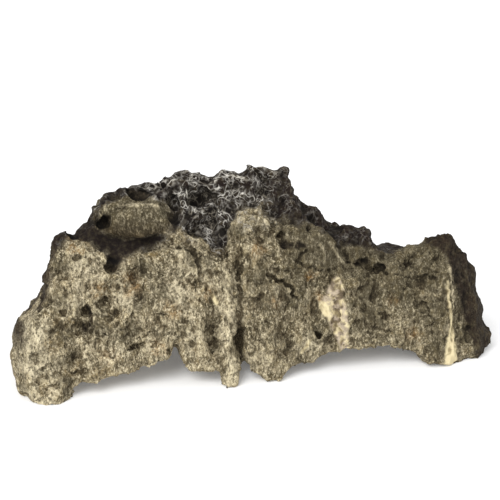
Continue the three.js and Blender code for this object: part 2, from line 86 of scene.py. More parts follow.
# The ledge under the boulder: the middle's x, its height at x = 0 and rise to the right, and its half sizes.
LEDGE_X = -82
LEDGE_HEIGHT = 99
LEDGE_RISE = 0.12
LEDGE_REACH = (36, 13)

# Where the dark cap over the pale vein has its middle, and the pale dust on the top, as x.
CAP_X = 122
DUST_X = -30

# Small pits in the front wall: place, half width and half height, depth. All in millimetres.
PITS = [
    ((-123, -38, 53), (2.6, 2.4), 2.0),
    ((-110, -36, 41), (4.0, 2.4), 2.5),
    ((-90, -38, 42), (3.4, 1.6), 2.5),
    ((0, -33, 56), (2.2, 1.4), 2.0),
    ((-11, -37, 56), (1.6, 2.2), 2.0),
    ((-12, -34, 65), (2.0, 1.4), 2.0),
    ((81, -39, 33), (2.6, 1.4), 1.8),
    ((112, -35, 57), (2.4, 1.4), 1.8),
    ((64, -22, 64), (3.6, 1.6), 2.0),
    ((99, -29, 64), (3.0, 1.4), 1.8),
    ((-53, -21, 87), (2.4, 1.6), 2.0),
    ((-65, -41, 42), (1.6, 3.0), 1.4),
    ((62, -36, 45), (1.8, 3.0), 1.2),
    ((94, -38, 50), (2.4, 1.4), 1.4),
    ((22, -37, 45), (1.4, 2.4), 1.2),
]

# Places [x, height] on the front wall where the solid's hollows are softened, and their radius.
SOFT_SPOTS = [((35, 38), 13), ((-31, 20), 11), ((-31, 46), 12), ((-92, 55), 9), ((17, 88), 6), ((18, 62), 9),
              ((0, 62), 9), ((60, 70), 8), ((-70, 72), 8), ((16, 36), 10), ((-8, 66), 8)]

# Hollows of the top, the ledge and the boulder, which are sunk and also painted dark as shade: place, half
# sizes, depth.
DARK_HOLLOWS = [
    ((-71, 2, 113), (12, 7, 6), 0.8),
    ((-96, -8, 100), (4.5, 7, 4), 1.5),
    ((-91, -20, 76), (5, 9, 4), 0.8),
    ((18, -26, 84), (5, 7, 3), 2.0),
    ((27, -27, 83), (5, 7, 2), 1.5),
    ((66, -20, 66), (9, 7, 2.5), 2.0),
    ((84, -24, 64), (7, 7, 2), 1.5),
    ((-50, -12, 101), (3, 6, 7), 2.0),
]

# The smooth plate that leans on the wall right of the middle: places [x, height] and radii.
PLATE = [((28, 82), 11), ((38, 80), 11), ((34, 70), 10), ((47, 73), 8)]

# Swellings of the outline: place, radius, and how far the middle is pushed.
SWELLINGS = [
    ((-119, -18, 93), 22, (-5, 0, 2)),
    ((-128, -26, 70), 20, (-3, 0, 0)),
    ((12, 2, 124), 10, (0, 0, 3)),
    ((31, 0, 104), 12, (3, 0, 4)),
    ((140, -18, 60), 22, (4, 0, 2)),
    ((150, -28, 11), 9, (2, 0, 0)),
    ((-21, -50, 3), 9, (2, -1, 0)),
    ((38, -35, 38), 10, (0, -5, 0)),
    ((38, -37, 28), 10, (0, -5, 0)),
    ((-12, -40, 20), 9, (0, -4, 0)),
    ((-12, -42, 8), 8, (0, -3, 0)),
    ((-74, -16, 96), 15, (0, -4, -3)),
    ((-90, -13, 75), 9, (0, -3, 0)),
    ((38, -32, 28), 9, (0, -5, 0)),
    ((-14, -32, 19), 9, (0, -4, 0)),
    ((150, -24, 26), 17, (4, 0, 0)),
    ((143, -30, 4), 14, (2, -5, 0)),
    ((154, -30, 9), 10, (4, -2, -2)),
    ((-31, -40, 22), 8, (0, -3, 0)),
    ((12, -36, 50), 9, (0, -2, 0)),
]

# Cracks and grooves: the points they run through, half width, depth.
CRACKS = [
    ([(-31, -34, 58), (-30, -41, 34), (-31, -45, 10)], 1.2, 0.8),
    ([(5, -33, 67), (11, -34, 62), (19, -36, 59), (22, -36, 52)], 1.1, 2.8),
    ([(-12, -30, 84), (-13, -34, 60), (-13, -38, 40), (-14, -41, 8)], 1.5, 2.2),
    ([(-84, -41, 27), (-78, -41, 29), (-73, -41, 31)], 1.0, 2.2),
    ([(-119, -42, 24), (-113, -42, 27)], 1.0, 1.8),
    ([(-120, -44, 14), (-112, -44, 18)], 0.9, 1.6),
    ([(30, -30, 80), (24, -31, 74), (33, -32, 68), (46, -34, 66)], 0.9, 1.8),
    ([(60, -22, 66), (71, -24, 64), (84, -27, 59)], 1.2, 2.4),
    ([(88, -30, 60), (97, -31, 56), (108, -33, 57)], 0.8, 1.4),
    ([(78, -38, 36), (84, -38, 33), (88, -39, 28)], 0.9, 1.6),
    ([(-58, -42, 20), (-60, -40, 30)], 0.9, 1.8),
    ([(-42, -20, 86), (-38, -27, 72), (-34, -32, 60)], 1.3, 1.8),
]

# Thin proud edges of the leaning plates and of the wall's ribs: points, half width, height.
PROUD_EDGES = [
    ([(46, -29, 83), (52, -27, 74), (57, -25, 65)], 1.3, 1.2),
    ([(40, -29, 83), (43, -32, 76), (41, -33, 71)], 1.1, 1.0),
    ([(-20, -32, 66), (-21, -40, 36), (-22, -47, 6)], 6.0, 2.0),
    ([(-48, -18, 88), (-45, -25, 74), (-41, -31, 60)], 1.8, 1.6),
    ([(-38, -20, 88), (-32, -27, 75), (-27, -32, 61)], 1.8, 1.6),
    ([(-84, -12, 110), (-74, -12, 111), (-65, -11, 110), (-55, -8, 106)], 1.0, 0.8),
    ([(122, -29, 78), (125, -35, 52), (127, -38, 38)], 1.1, 1.0),
]

# Stains on the front wall, as a place [x, height] and a radius.
DUSKY_STAINS = [((28, 76), 19), ((44, 72), 12), ((112, 60), 17), ((114, 36), 15), ((92, 52), 16),
                ((70, 50), 12), ((72, 34), 12), ((20, 54), 11), ((-84, 38), 9), ((-100, 42), 9),
                ((-62, 62), 7), ((-72, 74), 8), ((-2, 66), 10), ((-42, 78), 9), ((-75, 56), 11),
                ((-52, 54), 7), ((-125, 60), 9), ((-124, 42), 8), ((-122, 26), 8), ((-124, 10), 8),
                ((-12, 94), 6), ((116, 14), 12), ((134, 18), 8), ((132, 36), 7), ((-122, 80), 7),
                ((-114, 80), 6), ((2, 50), 7)]
RUST_STAINS = [((-99, 63), 7), ((-80, 64), 8), ((-56, 49), 6), ((-96, 24), 6), ((-34, 57), 5), ((-1, 82), 6),
               ((9, 49), 5), ((34, 63), 5), ((86, 43), 5), ((99, 21), 5), ((-112, 92), 8), ((39, 48), 4),
               ((-66, 26), 6)]
CREAM_STAINS = [((-141, 40), 13), ((-139, 24), 14), ((-137, 8), 13), ((-48, 70), 8), ((-36, 70), 7),
                ((14, 52), 7), ((-107, 76), 14), ((-114, 62), 11), ((-84, 56), 10), ((-66, 28), 10),
                ((-50, 58), 10), ((-30, 60), 8), ((-22, 50), 8), ((-22, 34), 8), ((-22, 18), 8), ((-22, 5), 7),
                ((-4, 14), 10), ((-42, 30), 10), ((-98, 30), 11), ((30, 20), 9), ((-46, 84), 6), ((52, 22), 6)]

# Dusty places on the crest and on the boulder, in the same way.
DUSTY_STAINS = [((-6, 100), 8), ((6, 99), 8), ((12, 96), 5), ((-43, 89), 6), ((-98, 108), 6)]

# Minerals in the front wall: points [x, height] that each runs through, and its radius at each.
QUARTZ_PATCH = [((51, 59), 1.5), ((50, 52), 4.8), ((47, 44), 7.0), ((50, 33), 6.0), ((52, 24), 4.5),
                ((53, 18), 3.0)]
QUARTZ_BLOB = [((41, 43), 2.6), ((42, 39), 2.2)]
PALE_VEIN = [((122, 54), 0.6), ((124, 36), 0.9), ((124, 27), 1.4), ((123, 4), 5.0)]
PALE_DASH = [((-30, 55), 1.0), ((-28, 51), 1.2)]
PALE_ARC = [((30, 23), 0.7), ((29, 19), 0.8), ((25, 15.5), 0.6)]


def linear(code):
    """An sRGB hex colour as the linear red, green, blue and alpha that Blender's nodes take."""
    parts = [int(code[i:i + 2], 16) / 255 for i in (1, 3, 5)]
    return (*[c / 12.92 if c <= 0.04045 else ((c + 0.055) / 1.055) ** 2.4 for c in parts], 1.0)


def colour(code, name, description):
    """A colour property with that sRGB default."""
    return bpy.props.FloatVectorProperty(
        name=name, description=description, subtype="COLOR", size=4, min=0, max=1, default=linear(code))


def length(default, name, description):
    """A length property, given in millimetres."""
    return bpy.props.FloatProperty(
        name=name, description=description, default=default * MM, min=0, unit="LENGTH", precision=5)


class STONE_PG_relief(bpy.types.PropertyGroup):
    """Sizes of the stone's fine relief"""

    mesh_size: length(1.04, "Mesh size", "Size of the fine mesh's faces")
    hidden_share: bpy.props.FloatProperty(
        name="Hidden faces", description="Share of the fine faces kept on the back and the underside",
        default=0.13, min=0.05, max=1)
    facet_rounds: bpy.props.IntProperty(
        name="Facet softening", description="Rounds of smoothing that take the solid's facets off",
        default=9, min=0)
    crook_depth: length(3.0, "Crook depth", "How far the outlines of hollows and ribs are pushed about")
    lump_depth: length(1.6, "Lump depth", "Depth of the broad lumps all over the stone")
    grain_depth: length(1.9, "Grain depth", "Depth of the upright grain on the walls")
    grain_width: length(5.0, "Grain width", "Spacing of the upright grain on the walls")
    crumb_depth: length(0.55, "Crumb depth", "Depth of the crumbly surface all over the stone")
    crag_width: length(11.0, "Crag width", "Width of the knobs on top")
    crag_depth: length(4.2, "Crag depth", "Depth of the creases between the knobs on top")
    web_height: length(0.6, "Web height", "Height of the fine sharp ridges on top")


class STONE_PG_colours(bpy.types.PropertyGroup):
    """Colours of the stone"""

    wall: colour("#8b7e63", "Wall", "Khaki of the front wall")
    shade: colour("#3f3828", "Wall, dark grains", "Olive brown of the wall's dark grains and hollows")
    cream: colour("#ddd0b0", "Cream", "Cream grains and crusts on the wall")
    rust: colour("#94703f", "Rust", "Iron stains")
    ochre: colour("#8f774a", "Ochre", "Warmer patches of the wall")
    olive: colour("#4c4533", "Boulder", "Smooth olive of the boulder and the low right wall")
    dark: colour("#1a120f", "Top", "Purple brown of the weathered top")
    umber: colour("#180d08", "Ends", "Warm brown of the ends")
    frost: colour("#c8c4bb", "Web", "Pale dust on the sharp ridges of the top")
    quartz: colour("#b3a48f", "Quartz", "Grey pink of the quartz patch")
    calcite: colour("#d9caa2", "Calcite", "Cream white of the veins")


class STONE_PG_stage(bpy.types.PropertyGroup):
    """Camera, light and floor"""

    camera_yaw: bpy.props.FloatProperty(
        name="Camera yaw", description="How far round from the front the camera stands",
        default=math.radians(11), unit="ROTATION")
    camera_pitch: bpy.props.FloatProperty(
        name="Camera pitch", description="How far down the camera looks",
        default=math.radians(21), unit="ROTATION")
    camera_distance: length(800, "Camera distance", "From the camera to the middle of the stone")
    target_height: length(71, "Target height", "Height of the point the camera looks at")
    lens: bpy.props.FloatProperty(name="Lens", description="Focal length of the camera, in mm", default=89.0)
    sky_light: bpy.props.FloatProperty(
        name="Sky light", description="Strength of the white light from all round", default=0.62, min=0)
    floor_size: length(8000, "Floor size", "Width of the floor")
    floor: colour("#f4f4f4", "Floor", "Plain pale floor")


# Relief

def smooth_step(values, low, high):
    """0 below low, 1 above high and smooth between, also where low is above high."""
    t = np.clip((values - low) / (high - low), 0, 1)
    return t * t * (3 - 2 * t)


def noise_at(points, size, stretch=(1, 1, 1), seed=0.0):
    """Smooth noise from about -1 to 1 at each point, its lumps about size millimetres across."""
    return np.array([noise.noise(Vector(p)) for p in points / (size * np.array(stretch)) + seed])


def domes_at(points, size, seed=0.0):
    """Distance to the nearest of scattered middles at each point, in parts of the size between them."""
    return np.array([noise.voronoi(Vector(p))[0][0] for p in points / size + seed])


def facets_at(points, size, seed=0.0):
    """Heights of flat facets about size millimetres across, each tilted its own way, in parts of that size."""
    places = points / size + seed
    centres = np.array([noise.voronoi(Vector(p))[1][0] for p in places])
    tilts = np.sin(127.1 * centres[:, [1, 2, 0]] + 311.7 * centres)
    return np.einsum("ij,ij->i", places - centres, tilts)


def warped(points, size, amount, seed=0.0):
    """The points, pushed about by smooth noise so that patterns on them are crooked."""
    push = [noise_at(points, size, seed=seed + 7.3 * axis) for axis in range(3)]
    return points + amount * np.stack(push, 1)


def along_line(points, places, into=None):
    """Distance from each point to a line through places, and how many places along the nearest point of it is.
    Where a direction is given, distances are measured across it."""
    best = np.full(len(points), np.inf)
    where = np.zeros(len(points))
    for number, (start, end) in enumerate(zip(places[:-1], places[1:])):
        start, end = np.array(start, float), np.array(end, float)
        offset, run = points - start, end - start
        if into is not None:
            offset = offset - np.outer(offset @ into, into)
            run = run - (run @ into) * into
        t = np.clip(offset @ run / (run @ run), 0, 1)
        distance = np.linalg.norm(offset - t[:, None] * run, axis=1)
        nearer = distance < best
        best[nearer] = distance[nearer]
        where[nearer] = number + t[nearer]
    return best, where


def tapered(points, line):
    """How far each point is inside a tapered streak on the wall, in millimetres: negative outside."""
    distance, where = along_line(points[:, [0, 2]], [place for place, radius in line])
    return np.interp(where, range(len(line)), [radius for place, radius in line]) - distance


def spots(points, stains):
    """1 in the middle of stains, 0 outside them, seen from the front."""
    share = np.zeros(len(points))
    for place, radius in stains:
        distance = np.linalg.norm(points[:, [0, 2]] - place, axis=1)
        share = np.maximum(share, smooth_step(distance, 1.25 * radius, 0.3 * radius))
    return share


def above_crest(points):
    """How far each point is above the crest, in millimetres."""
    return points[:, 2] - np.interp(points[:, 0], *zip(*CREST))


class Surface:
    """A mesh's points, normals and edges as arrays, in millimetres."""

    def __init__(self, piece):
        self.mesh = piece.data
        count = len(self.mesh.vertices)
        self.points = np.empty(count * 3)
        self.mesh.vertices.foreach_get("co", self.points)
        self.points = self.points.reshape(-1, 3) / MM
        self.edges = np.empty(len(self.mesh.edges) * 2, int)
        self.mesh.edges.foreach_get("vertices", self.edges)
        self.edges = self.edges.reshape(-1, 2)
        self.degree = np.bincount(self.edges.ravel(), minlength=count)
        self.read_normals()

    def read_normals(self):
        """Reads the mesh's normals again, after its points have moved."""
        self.normals = np.empty(len(self.points) * 3)
        self.mesh.vertex_normals.foreach_get("vector", self.normals)
        self.normals = self.normals.reshape(-1, 3)

    def move(self, amount, direction=None):
        """Moves every point by that many millimetres along its normal, or along one direction."""
        self.shift(amount[:, None] * (self.normals if direction is None else direction))

    def shift(self, offsets):
        """Moves every point by its own offset, and stops it at the solid's box."""
        self.points = np.clip(self.points + offsets, *np.array(CAD_BOX) / MM)
        self.mesh.vertices.foreach_set("co", (self.points * MM).ravel())
        self.mesh.update()
        self.read_normals()

    def blurred(self, rows, rounds):
        """Each point's row of numbers, averaged with its neighbours' that many times. On the fine mesh,
        10 rounds reach about 1.5 mm and 40 rounds about 3 mm."""
        a, b = self.edges.T
        columns = []
        for values in rows.T:
            for _ in range(rounds):
                total = np.bincount(a, values[b], len(values)) + np.bincount(b, values[a], len(values))
                values = 0.5 * values + 0.5 * total / self.degree
            columns.append(values)
        return np.stack(columns, 1)

    def soft_normals(self, rounds):
        """Normals of the surface without its small relief."""
        soft = self.blurred(self.normals, rounds)
        return soft / np.maximum(np.linalg.norm(soft, axis=1, keepdims=True), 1e-6)

    def soften(self, share, rounds):
        """Smooths the surface, by that share at each point."""
        self.shift(share[:, None] * (self.blurred(self.points, rounds) - self.points))

    def proud(self, rounds):
        """How far each point stands out of its blurred surroundings, in millimetres."""
        return np.einsum("ij,ij->i", self.points - self.blurred(self.points, rounds), self.normals)

    def keep(self, name, values):
        """Stores a value for each point, for the material to read."""
        layer = self.mesh.attributes.new(name, "FLOAT", "POINT")
        layer.data.foreach_set("value", np.clip(values, 0, 1).astype(np.float32))


def zones(surface):
    """Which share of each point is weathered top, back, boulder, ledge and end. Their borders are broken."""
    x, y, z = surface.points.T
    broken = noise_at(surface.points, 14, seed=3.1) + 0.5 * noise_at(surface.points, 5, seed=3.7)

    # What lies above the crest is top, where it is well above it or set back from the wall's face. Well behind
    # the face, what lies up to 16 mm lower is top too.
    behind = y - (WALL_FOOT + WALL_LEAN * z)
    above = above_crest(surface.points) + 3 * broken + 16 * smooth_step(behind, 12, 25)
    set_back = smooth_step(behind + 3 * broken, 1, 7)
    top = smooth_step(above, -2, 3) * np.maximum(set_back, smooth_step(above, 3, 8))
    back = smooth_step(y - 0.1 * z + 5 * broken, 8, 22)

    across, up = (surface.points[:, [0, 2]] - BOULDER_MIDDLE).T / np.array(BOULDER_REACH)[:, None]
    boulder = smooth_step(np.hypot(across, up) + broken / 9, 1.1, 0.85) * smooth_step(y + 3 * broken, 22, 10)
    across, up = (x - LEDGE_X) / LEDGE_REACH[0], (z - LEDGE_HEIGHT - LEDGE_RISE * x) / LEDGE_REACH[1]
    ledge = smooth_step(np.hypot(across, up) + broken / 9, 1.1, 0.85) * top

    # The dark ends: the right end's side face, the cap over the vein, and the left end above its foot
    right_end = smooth_step(x + 0.3 * z + 2 * broken, 140, 145)
    cap = smooth_step(z - 0.2 * np.abs(x - CAP_X) + 3 * broken, 71, 76) * smooth_step(x, 108, 113)
    left_end = smooth_step(-surface.normals[:, 0] + 0.2 * broken, 0.35, 0.75) * smooth_step(-x, 96, 110)
    left_end *= smooth_step(z, 26, 44)
    return {
        "top": np.clip(top * (1 - boulder) + back * smooth_step(z, 18, 48), 0, 1),
        "back": back,
        "boulder": boulder,
        "ledge": ledge * (1 - boulder),
        "end": np.clip(right_end + cap + left_end, 0, 1),
    }


def push_outlines(surface, sizes):
    """Makes the outlines of hollows and ribs crooked, then swells the stone's own outline in places."""
    depth = sizes.crook_depth / MM
    push = warped(surface.points, 9, depth, seed=61)
    push = warped(push, 4, 0.5 * depth, seed=67) - surface.points
    push -= np.einsum("ij,ij->i", push, surface.normals)[:, None] * surface.normals
    push[:, 2] *= smooth_step(surface.points[:, 2], 0.5, 8)
    surface.shift(push)
    for place, radius, offset in SWELLINGS:
        share = smooth_step(np.linalg.norm(surface.points - place, axis=1), radius, 0)
        surface.shift(share[:, None] * offset)


def soften_places(surface, points, zone, plate):
    """Smooths the ledge, the plate and the solid's hollows that the wall shows too deep."""
    soft_spots = spots(points, SOFT_SPOTS) * smooth_step(points[:, 1], 5, -5)
    surface.soften(np.clip(0.9 * soft_spots + 0.8 * zone["ledge"] + 0.7 * plate, 0, 1), 40)


def carve_wall(surface, points, back):
    """Cuts the pits and cracks into the front wall, and leaves its thin edges proud."""
    facing = smooth_step(surface.normals @ -INTO_WALL, 0.0, 0.4) * (1 - back)
    crooked = warped(points, 4.5, 2.0, seed=11)
    cut = np.zeros(len(points))
    for place, (half_width, half_height), depth in PITS:
        offset = crooked - place
        height = offset[:, 2] - offset[:, 1] * WALL_LEAN * 0.3
        across = np.hypot(offset[:, 0] / half_width, height / half_height)
        near = smooth_step(np.abs(offset[:, 1]), 16, 9)
        cut = np.maximum(cut, depth * smooth_step(across, 1.3, 0.25) * near)
    for places, half_width, depth in CRACKS:
        distance, _ = along_line(crooked, places, INTO_WALL)
        near = smooth_step(np.abs(points[:, 1] - places[0][1]), 22, 14)
        cut = np.maximum(cut, depth * smooth_step(distance, 1.5 * half_width, 0.2 * half_width) * near)
    for places, half_width, height in PROUD_EDGES:
        distance, _ = along_line(crooked, places, INTO_WALL)
        near = smooth_step(np.abs(points[:, 1] - places[0][1]), 24, 16)
        cut -= height * smooth_step(distance, half_width, 0.1 * half_width) * near
    surface.move(cut * facing, INTO_WALL)


def sink_hollows(surface, points):
    """Sinks the dark hollows, and returns the share of each point that is in one, which the material paints
    dark as shade.
    """
    hollow = np.zeros(len(points))
    crooked = warped(points, 4, 1.5, seed=71)
    for place, half_sizes, depth in DARK_HOLLOWS:
        share = smooth_step(np.linalg.norm((crooked - place) / half_sizes, axis=1), 1.2, 0.5)
        hollow = np.maximum(hollow, share)
        surface.move(-depth * share, surface.soft_normals(8))
    return hollow


def chip_facets(surface, points, sizes, zone, plate):
    """Makes broad lumps and chipped facets, shallower on the boulder, the top, the plate and the tips."""
    facets = facets_at(warped(points, 9, 2, seed=5), 10, seed=2) + 0.5 * facets_at(points, 5, seed=3)
    facets *= smooth_step(points[:, 2], 2, 14) * smooth_step(np.abs(points[:, 0]), 152, 140)
    lumps = 0.6 * noise_at(points, 13, seed=1.7) - 0.4 * np.abs(noise_at(points, 7, seed=9.1)) + 0.75 * facets
    calm = (1 - 0.75 * zone["boulder"]) * (1 - 0.6 * zone["top"]) * (1 - 0.75 * plate)
    surface.move(sizes.lump_depth / MM * lumps * calm - 0.2)


def cut_upright_grain(surface, sizes, zone, plate):
    """Cuts broad and fine upright grain into the walls."""
    width = sizes.grain_width / MM
    bent = warped(surface.points, 22, 5, seed=21)
    broad = 1 - 2 * np.abs(noise_at(bent, width, (1, 1.4, 3.4), seed=4))
    fine = 1 - 2 * np.abs(noise_at(bent, 0.5 * width, (1, 1.2, 1.9), seed=6))
    grain = 0.62 * broad + 0.38 * fine
    on_wall = (1 - zone["top"]) * (1 - 0.7 * zone["boulder"]) * (1 - 0.5 * plate)
    surface.move(0.5 * sizes.grain_depth / MM * (grain - 0.6) * on_wall)


def crumble(surface, sizes, zone):
    """Breaks the whole surface into crumbs."""
    crumb = noise_at(surface.points, 3.2, seed=13) + 0.7 * noise_at(surface.points, 1.8, seed=17)
    surface.move(0.6 * sizes.crumb_depth / MM * (crumb - 0.3) * (1 - 0.5 * zone["boulder"]))


def raise_crags(surface, sizes, zone):
    """Makes round knobs on the top with creases between them, then a web of sharp ridges, which it returns."""
    width = sizes.crag_width / MM
    big = domes_at(warped(surface.points, 12, 4, seed=31), width, seed=8)
    small = domes_at(warped(surface.points, 6, 2, seed=33), 0.45 * width, seed=13)

    # The ledge stays smooth, and so do the thin rims behind the boulder, which the creases would cut through
    rims = smooth_step(surface.proud(45), 1.5, 4) * smooth_step(surface.points[:, 1], 4, 14)
    rims *= smooth_step(surface.points[:, 0], -35, -48)
    rough = zone["top"] * (1 - 0.8 * zone["ledge"]) * (1 - 0.8 * rims)
    crease = big ** 2 + 0.35 * small ** 2
    surface.move(-sizes.crag_depth / MM * crease * rough, surface.soft_normals(12))

    points = warped(surface.points, 5, 2.5, seed=37)
    broad = 1 - 4 * np.abs(noise_at(points, 6.5, seed=12))
    fine = 0.8 - 4 * np.abs(noise_at(points, 4, seed=14))
    ridges = np.clip(np.maximum(broad, fine), 0, 1)
    surface.move(sizes.web_height / MM * ridges * rough, surface.soft_normals(6))
    surface.soften(0.7 * rough, 2)
    return ridges


def weather(surface, sizes):
    """Carves the stone's relief, from the coarse to the fine, and returns its zones, hollows and ridges."""
    push_outlines(surface, sizes)
    zone = zones(surface)

    # Pits and cracks keep to the surface as it is before its places are softened
    points = surface.points
    plate = spots(points, PLATE) * smooth_step(points[:, 1], 0, -10)
    soften_places(surface, points, zone, plate)
    carve_wall(surface, points, zone["back"])

    # So do facets to the surface before its hollows are sunk
    points = surface.points
    hollow = sink_hollows(surface, points)
    chip_facets(surface, points, sizes, zone, plate)
    cut_upright_grain(surface, sizes, zone, plate)
    crumble(surface, sizes, zone)
    ridges = raise_crags(surface, sizes, zone)
    return zone, hollow, ridges


def paint_layers(surface, zone, hollow, ridges):
    """What the material reads at each point, by name: zones, dust, relief and hollows for painted shade and
    highlight, stains and minerals.
    """
    points = surface.points
    x, y, z = points.T
    crooked = warped(points, 5, 2.2, seed=51)
    front = smooth_step(surface.normals @ -INTO_WALL, -0.2, 0.25) * smooth_step(y, 0, -14)
    fine, wide = surface.proud(6), surface.proud(45)

    # Dust lies on the top, most of it around its middle, and less of it on the lower back and on the crest
    dust = zone["top"] * (1 - zone["ledge"]) * (1 - zone["end"])
    dust *= 0.15 + 0.85 * smooth_step(np.abs(x - DUST_X), 54, 32)
    dust *= 1 - zone["back"] * smooth_step(z, 108, 84)
    dust = np.maximum(dust, 0.4 * spots(points, DUSTY_STAINS))

    edges = [smooth_step(along_line(points, places, INTO_WALL)[0], 1.3 * half_width, 0.2 * half_width)
             for places, half_width, height in PROUD_EDGES]
    upper = smooth_step(above_crest(points), -26, -8) * smooth_step(x, 8, 24)
    pale = [tapered(points, line) for line in (QUARTZ_BLOB, PALE_VEIN, PALE_DASH, PALE_ARC)]
    quartz = tapered(warped(points, 4, 1.0, seed=53), QUARTZ_PATCH)
    return {
        "top": zone["top"],
        "boulder": zone["boulder"],
        "end": zone["end"],
        "dust": dust,
        "web": smooth_step(ridges, 0.4, 1.0) * dust,
        # Masks for painted shade in the dark hollows, under the boulder and in sunken places, and for painted
        # shade and highlight on grains that sink in or stand out
        "dark_hollow": hollow,
        "under_boulder": zone["boulder"] * smooth_step(z + 0.1 * x, 99, 84),
        "proud": 0.5 + 0.75 * fine + 0.13 * wide,
        "sunken": smooth_step(wide, -0.3, -2.0),
        "rust": spots(crooked, RUST_STAINS) * front,
        "cream": np.maximum(spots(crooked, CREAM_STAINS), 0.8 * np.maximum.reduce(edges)) * front,
        "dusky": np.maximum(spots(crooked, DUSKY_STAINS), upper) * front,
        "upper_right": upper * front,
        "quartz": smooth_step(quartz, -0.5, 0.6) * front,
        "vein": smooth_step(np.maximum.reduce(pale), -0.5, 0.4) * front,
    }


# Materials

def add(tree, kind, inputs=(), **settings):
    """Adds a node with its settings, and sets or links its inputs by name or number."""
    node = tree.nodes.new(kind)
    for name, value in settings.items():
        setattr(node, name, value)
    for name, value in dict(inputs).items():
        if isinstance(value, bpy.types.NodeSocket):
            tree.links.new(value, node.inputs[name])
        else:
            node.inputs[name].default_value = value
    return node


def blank_material(name):
    """A material with an empty node tree, and its shader linked to the output."""
    material = bpy.data.materials.new(name)
    material.use_nodes = True
    tree = material.node_tree
    tree.nodes.clear()
    shader = add(tree, "ShaderNodeBsdfPrincipled")
    add(tree, "ShaderNodeOutputMaterial", {"Surface": shader.outputs["BSDF"]})
    return material, tree, shader


# Numbers of the Mix node's sockets for colours
MIX_FACTOR, MIX_A, MIX_B, MIX_RESULT = 0, 6, 7, 2


class StonePaint:
    """The patterns of the stone's material, added to its node tree. Their sizes are in millimetres."""

    def __init__(self, tree, layers):
        self.tree = tree
        self.place = add(tree, "ShaderNodeTexCoord").outputs["Object"]
        self.layer = {
            name: add(tree, "ShaderNodeAttribute", attribute_name=name).outputs["Fac"] for name in layers}

        # 0 on the stone's left, 1 on its right
        across = add(tree, "ShaderNodeSeparateXYZ", {"Vector": self.place}).outputs["X"]
        self.right = add(tree, "ShaderNodeMapRange", {
            "Value": across, "From Min": -50 * MM, "From Max": 30 * MM}).outputs["Result"]

    def lumps(self, size, stretch, seed, **settings):
        """Noise with lumps size millimetres across, stretched upwards."""
        squeezed = add(self.tree, "ShaderNodeMapping", {
            "Vector": self.place,
            "Scale": (1, 1, 1 / stretch),
            "Location": (seed, seed, seed),
        }).outputs["Vector"]
        return add(self.tree, "ShaderNodeTexNoise", {
            "Vector": squeezed, "Scale": 1 / (size * MM), **settings}).outputs["Fac"]

    def grains(self, size, low, high, stretch=1.0, detail=2.0, seed=0.0):
        """Grains size millimetres across: 0 where their noise is below low, 1 where it is above high."""
        noise_value = self.lumps(size, stretch, seed, Detail=detail, Roughness=0.6)
        return add(self.tree, "ShaderNodeMapRange", {
            "Value": noise_value, "From Min": low, "From Max": high}).outputs["Result"]

    def lines(self, size, width, stretch=1.0, detail=4.0, seed=0.0):
        """Thin crooked lines about size millimetres apart: 1 along them, 0 beside them."""
        noise_value = self.lumps(size, stretch, seed, Detail=detail, Distortion=0.4)
        off = add(self.tree, "ShaderNodeMath", {0: noise_value, 1: 0.5}, operation="SUBTRACT").outputs[0]
        off = add(self.tree, "ShaderNodeMath", {0: off}, operation="ABSOLUTE").outputs[0]
        return add(self.tree, "ShaderNodeMapRange", {
            "Value": off, "From Min": width, "From Max": 0.2 * width}).outputs["Result"]

    def over(self, under, above, strength, *masks, blend="MIX"):
        """One colour laid over another, at that strength where all the masks are 1."""
        factor = strength
        for mask in masks:
            factor = add(self.tree, "ShaderNodeMath", {0: mask, 1: factor}, operation="MULTIPLY").outputs[0]
        return add(self.tree, "ShaderNodeMix", {MIX_FACTOR: factor, MIX_A: under, MIX_B: above},
                   data_type="RGBA", blend_type=blend).outputs[MIX_RESULT]


